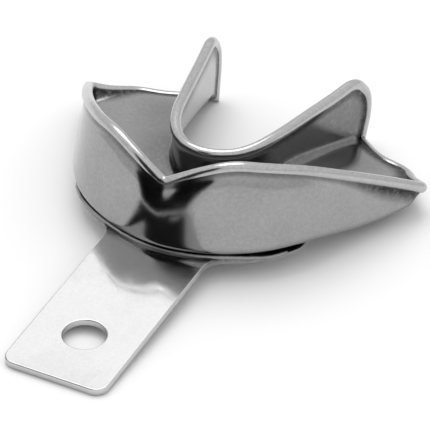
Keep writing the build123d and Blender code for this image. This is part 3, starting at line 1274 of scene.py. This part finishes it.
@dataclass
class HandlePlate:
    """Flat handle with its hole, in one piece with the crescent foot under the trough."""

    pattern: TrayPattern
    width: float = 18.0
    reach: float = 35.5
    corner: float = 2.2
    hole: float = 7.1
    hole_setback: float = 11.2
    foot_margin: float = -0.4
    foot_span: float = 41.6
    foot_depth: float = 8.0
    root_reach: float = 2.6
    tip_round: float = 1.0
    edge_round: float = 0.16
    tip_thinning: float = 0.55
    thin_from: float = 14.0
    thin_over: float = 5.5
    hole_sides: int = 72
    closest: float = 0.02
    # Reach of the painted shade on the plate beside the joint under the trough.
    seam_reach: float = 2.0

    def base_line(self, margin: float) -> Points:
        """Outside of the trough's base over the foot, right side.

        Args:
            margin: How far it is moved outwards.

        Returns:
            Plan points, from the middle plane on.
        """
        points = []
        for section in self.pattern.sections[:6]:
            inner, outer = np.array(section.inner), np.array(section.outer)
            points.append(outer + unit(outer - inner) * (self.pattern.sheet / 2 + margin))
        half = np.array(points)
        lengths = np.concatenate([[0], np.cumsum(np.linalg.norm(np.diff(half, axis=0), axis=1))])
        both = np.concatenate([-lengths[:0:-1], lengths])
        across = Curve(both, np.concatenate([-half[:0:-1, 0], half[:, 0]]))
        back = Curve(both, np.concatenate([half[:0:-1, 1], half[:, 1]]))
        fine = np.linspace(0.0, lengths[-1], 160)
        return np.column_stack([across.at(fine), back.at(fine)])

    def outline(self) -> Points:
        """Right half of the plate's outline, from the handle's end to the foot's rear middle.

        Returns:
            Plan points, from the middle of the handle's end round to the middle plane.
        """
        side = self.width / 2
        front = self.base_line(self.foot_margin)
        rear = self.base_line(-self.foot_depth)
        tip = self.foot_span / 2
        front = front[front[:, 0] < tip]
        front = np.vstack([front, [tip, front[-1, 1] + (tip - front[-1, 0]) * 1.2]])
        rear = rear[rear[:, 0] < tip]
        meet = np.array([side, np.interp(side, front[:, 0], front[:, 1])])
        ahead = front[front[:, 0] > side]
        end = np.array([[0.0, -self.reach], [side, -self.reach]])
        flank = np.array([end[1], meet])
        line = self._softened(end, flank, self.corner)
        line = self._softened(line, np.vstack([meet, ahead]), self.root_reach)
        drop = np.array([ahead[-1], [ahead[-1, 0], rear[-1, 1]]])
        line = self._softened(line, drop, self.tip_round)
        line = self._softened(line, rear[::-1], self.tip_round)
        return line

    @staticmethod
    def _softened(first: Points, second: Points, reach: float) -> Points:
        """Join two lines that meet in a corner with a smooth bend.

        Args:
            first: The line that arrives at the corner.
            second: The line that leaves it.
            reach: Length of each line that the bend takes up.

        Returns:
            One line.
        """
        def cut_from_start(line: Points) -> tuple[Points, Points, Points]:
            """Where the bend leaves a line, which way it goes there, and the rest of it."""
            lengths = np.concatenate([[0], np.cumsum(np.linalg.norm(np.diff(line, axis=0),
                                                                   axis=1))])
            held = min(reach, lengths[-1] * 0.48)
            spot = np.array([np.interp(held, lengths, line[:, k]) for k in range(2)])
            rest = line[lengths > held + 1e-6]
            way = unit(rest[0] - spot) if len(rest) else unit(line[-1] - line[0])
            return spot, way, rest

        start, start_way, before = cut_from_start(first[::-1])
        end, end_way, after = cut_from_start(second)
        span = np.linalg.norm(end - start) * 0.39
        one, two = start - start_way * span, end - end_way * span
        share = np.linspace(0.0, 1.0, 14)[:, None]
        bend = ((1 - share) ** 3 * start + 3 * share * (1 - share) ** 2 * one
                + 3 * share ** 2 * (1 - share) * two + share ** 3 * end)
        return np.vstack([before[::-1], bend, after])

    def build(self) -> bpy.types.Mesh:
        """Fill the outline round its hole, thicken it and round its edges.

        Returns:
            The plate's mesh.
        """
        half = self.outline()
        half[0, 0] = 0.0
        other = half[::-1].copy()
        other[:, 0] *= -1.0
        every = np.vstack([half, other])
        ring = [every[0]]
        for point in every[1:]:
            if np.linalg.norm(point - ring[-1]) > self.closest:
                ring.append(point)
        if np.linalg.norm(ring[0] - ring[-1]) < self.closest:
            ring.pop()
        middle = np.array([0.0, self.hole_setback - self.reach])
        hole = [middle + self.hole / 2 * np.array([math.cos(a), math.sin(a)])
                for a in np.linspace(0, 2 * math.pi, self.hole_sides, endpoint=False)]
        data = bpy.data.curves.new("handle_outline", "CURVE")
        data.dimensions = "2D"
        data.fill_mode = "BOTH"
        data.extrude = self.pattern.plate / 2 - self.edge_round
        data.bevel_depth = self.edge_round
        data.bevel_resolution = 3
        data.offset = -self.edge_round
        for points in (ring, hole):
            spline = data.splines.new("POLY")
            spline.points.add(len(points) - 1)
            for target, point in zip(spline.points, points):
                target.co = (point[0], point[1], 0.0, 1.0)
            spline.use_cyclic_u = True
        carrier = shown("handle_outline", data)
        graph = bpy.context.evaluated_depsgraph_get()
        mesh = bpy.data.meshes.new_from_object(carrier.evaluated_get(graph))
        bpy.data.objects.remove(carrier)
        bpy.data.curves.remove(data)
        mesh.name = "handle_plate_sheet"
        places = places_of(mesh) + [0.0, 0.0, self.pattern.plate / 2]
        outwards = (np.abs(places[:, 0]) - self.thin_from) / self.thin_over
        places[:, 2] *= 1.0 - self.tip_thinning * ease(outwards)
        mesh.vertices.foreach_set("co", SETTLING.placed(places).ravel())
        mesh.update()
        outward(mesh)
        up = Vector(SETTLING.turned(np.array([[0.0, 0.0, 1.0]]))[0])
        for face in mesh.polygons:
            face.use_smooth = abs(face.normal.dot(up)) < 0.999
        self._mark_seam(mesh)
        return mesh

    def _mark_seam(self, mesh: bpy.types.Mesh) -> None:
        """Store how near each point is to the soldered joint under the trough, as the weight of
        painted shade there.

        Args:
            mesh: The settled plate.
        """
        half = self.base_line(0.0)
        line = mirrored(np.column_stack([half, np.full(len(half), self.pattern.plate)]))
        gap = nearest_on(places_of(mesh), SETTLING.placed(line))[1]
        # Painted shade on the plate, deepest along the joint where the trough overhangs it.
        store_shade_weight(mesh, 1.0 - ease(gap / (self.seam_reach * MM)))

    def dress(self, finish: bpy.types.Material) -> bpy.types.Object:
        """Build, finish and place the plate."""
        mesh = self.build()
        mesh.materials.append(finish)
        return joined(shown("handle_and_foot", mesh), ["handle_plate"], "handle_plate")


@dataclass
class SolderSeam:
    """Irregular run of solder that shows along the joint of trough and foot."""

    pattern: TrayPattern
    plate: HandlePlate
    radius: float = 0.34
    setback: float = 0.55
    end_gap: float = 1.5
    end_drop: float = 0.7
    drop_from: float = 12.0
    drop_over: float = 6.0
    lift: float = 0.08
    hand: float = 0.35
    seed: float = 7.0

    def dress(self, bar: RoundBar, finish: bpy.types.Material) -> bpy.types.Object:
        """Grow, finish and place the seam.

        Args:
            bar: The geometry nodes that make round bar.
            finish: The seam's material.

        Returns:
            The seam.
        """
        half = self.plate.base_line(-self.setback)
        half = half[half[:, 0] < self.plate.foot_span / 2 - self.end_gap]
        drop = self.end_drop * ease((half[:, 0] - self.drop_from) / self.drop_over)
        height = self.pattern.plate + self.lift - drop
        mesh = bar.grown("solder_seam", mirrored(np.column_stack([half, height])), {
            "Bar Radius": self.radius * MM, "Step": 0.3 * MM, "Sides": 14,
            "Hand": self.hand * MM, "Hand Scale": 420.0, "Seed": self.seed, "Finish": finish})
        return joined(shown("solder_seam", outward(mesh)), [], "solder_film")


# ---------------------------------------------------------------------------------------------
# The studio
# ---------------------------------------------------------------------------------------------

@dataclass(frozen=True)
class Viewpoint:
    """Where the camera stands, from the tray's drawing frame."""

    azimuth: float = 26.172
    elevation: float = 38.294
    roll: float = 0.425
    distance: float = 607.59
    lens_share: float = 8.7212791
    pan: tuple[float, float] = (9.69, 6.273)
    sensor: float = 36.0

    @property
    def back(self) -> Points:
        """Direction from the tray to the camera, on the drawing."""
        a, e = math.radians(self.azimuth), math.radians(self.elevation)
        return np.array([math.sin(a) * math.cos(e), -math.cos(a) * math.cos(e), math.sin(e)])

    def set_up(self) -> bpy.types.Object:
        """Make the scene's camera.

        Returns:
            The camera.
        """
        a, r = math.radians(self.azimuth), math.radians(self.roll)
        level = np.array([math.cos(a), math.sin(a), 0.0])
        up = np.cross(level, -self.back)
        right = level * math.cos(r) + up * math.sin(r)
        over = up * math.cos(r) - level * math.sin(r)
        spot = self.back * self.distance + right * self.pan[0] + over * self.pan[1]
        axes = SETTLING.turned(np.array([right, over, self.back]))
        data = bpy.data.cameras.new("studio_camera")
        data.sensor_width = self.sensor
        data.lens = self.lens_share * self.sensor
        data.clip_start, data.clip_end = 0.01, 50.0
        camera = bpy.data.objects.new("studio_camera", data)
        bpy.context.scene.collection.objects.link(camera)
        matrix = Matrix([[*axes[:, k], 0.0] for k in range(3)] + [[0.0, 0.0, 0.0, 1.0]])
        matrix.translation = Vector(SETTLING.placed(spot[None])[0])
        camera.matrix_world = matrix
        bpy.context.scene.camera = camera
        return camera


@dataclass
class Studio:
    """Pale floor and a white tent round the tray, with a bright card and two black ones."""

    view: Viewpoint
    floor_size: float = 6.0
    tent_low: float = 0.80
    tent_high: float = 0.95

    def lay_floor(self, finish: bpy.types.Material) -> bpy.types.Object:
        """Lay the floor under the tray.

        Args:
            finish: The floor's material.

        Returns:
            The floor.
        """
        steps = 24
        span = np.linspace(-self.floor_size / 2, self.floor_size / 2, steps + 1)
        x, y = np.meshgrid(span, span, indexing="ij")
        points = np.stack([x.ravel(), y.ravel(), np.full(x.size, -2e-5)], 1)
        index = np.arange(x.size).reshape(x.shape)
        faces = np.stack([index[:-1, :-1].ravel(), index[1:, :-1].ravel(),
                          index[1:, 1:].ravel(), index[:-1, 1:].ravel()], 1).tolist()
        mesh = bpy.data.meshes.new("floor")
        mesh.from_pydata(points.tolist(), [], faces)
        mesh.materials.append(finish)
        floor = shown("floor", mesh)
        return floor

    def light_room(self) -> None:
        """Fill the tent with soft light, a little stronger overhead."""
        world = bpy.data.worlds.new("studio_room")
        bpy.context.scene.world = world
        world.use_nodes = True
        world.node_tree.nodes.clear()
        graph = Graph(world.node_tree)
        way = graph.node("ShaderNodeTexCoord").outputs["Generated"]
        glow = graph.ramp(graph.dot(way, (0.0, 0.0, 1.0)), 0.0, 0.7, self.tent_low,
                          self.tent_high)
        seen = graph.node("ShaderNodeLightPath").outputs["Is Camera Ray"]
        strength = graph.node("ShaderNodeMix", {0: seen, 2: glow, 3: 1.0},
                              data_type="FLOAT").outputs[0]
        shader = graph.node("ShaderNodeBackground", {"Color": (1.0, 1.0, 1.0, 1.0),
                                                     "Strength": strength})
        graph.surface(shader.outputs[0], "ShaderNodeOutputWorld")

    def stand_card(self, name: str, corners: Points, radiance: float) -> bpy.types.Object:
        """Stand a flat card that shows only in the tray's polish.

        Args:
            name: The card's name.
            corners: Its four corners where they stand, in metres and in order.
            radiance: How bright it is, 0 for a black flag.

        Returns:
            The card.
        """
        mesh = bpy.data.meshes.new(name)
        mesh.from_pydata(corners.tolist(), [], [[0, 1, 2, 3]])
        material, graph = blank_material(name)
        glow = graph.node("ShaderNodeEmission", {"Strength": radiance})
        graph.surface(glow.outputs[0])
        mesh.materials.append(material)
        card = shown(name, mesh)
        card.visible_camera = False
        card.visible_diffuse = False
        card.visible_shadow = False
        return card

    def stand_handle_card(self, away: float, left: float, right: float, near: float,
                          far: float, radiance: float) -> bpy.types.Object:
        """Stand the bright card that the flat handle mirrors towards the camera.

        Args:
            away: Distance along the mirrored line of sight.
            left: Reach to the left of that line.
            right: Reach to its right.
            near: Its lower reach on the handle.
            far: Its upper reach on the handle.
            radiance: How bright it is.

        Returns:
            The card.
        """
        back = self.view.back
        bounce = np.array([-back[0], -back[1], back[2]])
        a = math.radians(self.view.azimuth)
        side = np.array([math.cos(a), math.sin(a), 0.0])
        over = np.cross(side, -back) * [1.0, 1.0, -1.0]
        middle = bounce * away
        corners = [middle + side * x + over * y for x, y in
                   ((left, near), (right, near), (right, far), (left, far))]
        return self.stand_card("bright_card", SETTLING.placed(np.array(corners)), radiance)

    def stand_flag(self) -> None:
        """Stand the black flag behind the handle's end and lay a black sheet beside it."""
        flag = [[-31.0, -45.0, -2.0], [5.5, -45.0, -2.0], [16.0, -45.0, 80.0],
                [-31.0, -45.0, 80.0]]
        self.stand_card("black_flag", SETTLING.placed(np.array(flag)), 0.0)
        sheet = [[-28.0, -45.0, 0.2], [-9.4, -45.0, 0.2], [-9.4, -11.0, 0.2], [-13.0, -11.0, 0.2]]
        self.stand_card("black_sheet", np.array(sheet) * MM, 0.0)

    def balance_tones(self) -> None:
        """Show the scene's light as it is, without a film curve."""
        bpy.context.scene.view_settings.view_transform = "Standard"

    def hang_softbox(self, name: str, spot: tuple[float, float, float], size: float,
                     radiance: float) -> bpy.types.Object:
        """Hang a square area light that faces the tray.

        Args:
            name: The light's name.
            spot: Where it hangs, in metres.
            size: Its side.
            radiance: How bright its face is.

        Returns:
            The light.
        """
        data = bpy.data.lights.new(name, "AREA")
        data.shape = "SQUARE"
        data.size = size
        data.energy = radiance * math.pi * size * size
        light = bpy.data.objects.new(name, data)
        bpy.context.scene.collection.objects.link(light)
        light.location = spot
        light.rotation_euler = (-Vector(spot)).to_track_quat("-Z", "Y").to_euler()
        light.visible_camera = False
        return light


def main() -> None:
    """Build the tray and its studio, piece by piece."""
    logging.basicConfig(level=logging.INFO, format="%(name)s: %(message)s")
    shop = EffectShop()
    bar = RoundBar()
    pattern = TrayPattern()

    bowl_metal = MetalFinish("pressed_sheet", bright=0.37, dull=0.26, gloss=0.14).made(shop)
    wire_metal = MetalFinish("polished_wire", bright=0.52, dull=0.36, gloss=0.22).made(shop)
    plate_metal = MetalFinish("polished_plate", bright=0.60, dull=0.47, gloss=0.08,
                              grain_contrast=0.5, grain_height=0.0015).made(shop)
    solder = MetalFinish("dull_solder", bright=0.35, dull=0.2, gloss=0.35, marked=0.55).made(shop)

    PressedTrough(pattern).dress(bowl_metal)
    RetentionWire(pattern, WireEdge.RIM, seed=2.0).dress(bar, wire_metal)
    RetentionWire(pattern, WireEdge.TONGUE, seed=5.0).dress(bar, wire_metal)
    plate = HandlePlate(pattern)
    plate.dress(plate_metal)
    SolderSeam(pattern, plate).dress(bar, solder)
    film = frame["nodes"]["solder_film"]
    film.data.materials.clear()
    film.data.materials.append(solder)

    view = Viewpoint()
    view.set_up()
    studio = Studio(view)
    studio.lay_floor(PaleFloorFinish().made())
    studio.light_room()
    studio.hang_softbox("overhead_box", spot=(-0.25, 0.30, 1.1), size=0.8, radiance=2.6)
    studio.stand_handle_card(away=200.0, left=-38.0, right=22.0, near=-36.0, far=0.0,
                             radiance=1.55)
    studio.stand_flag()
    studio.balance_tones()


if __name__ == "__main__":
    main()
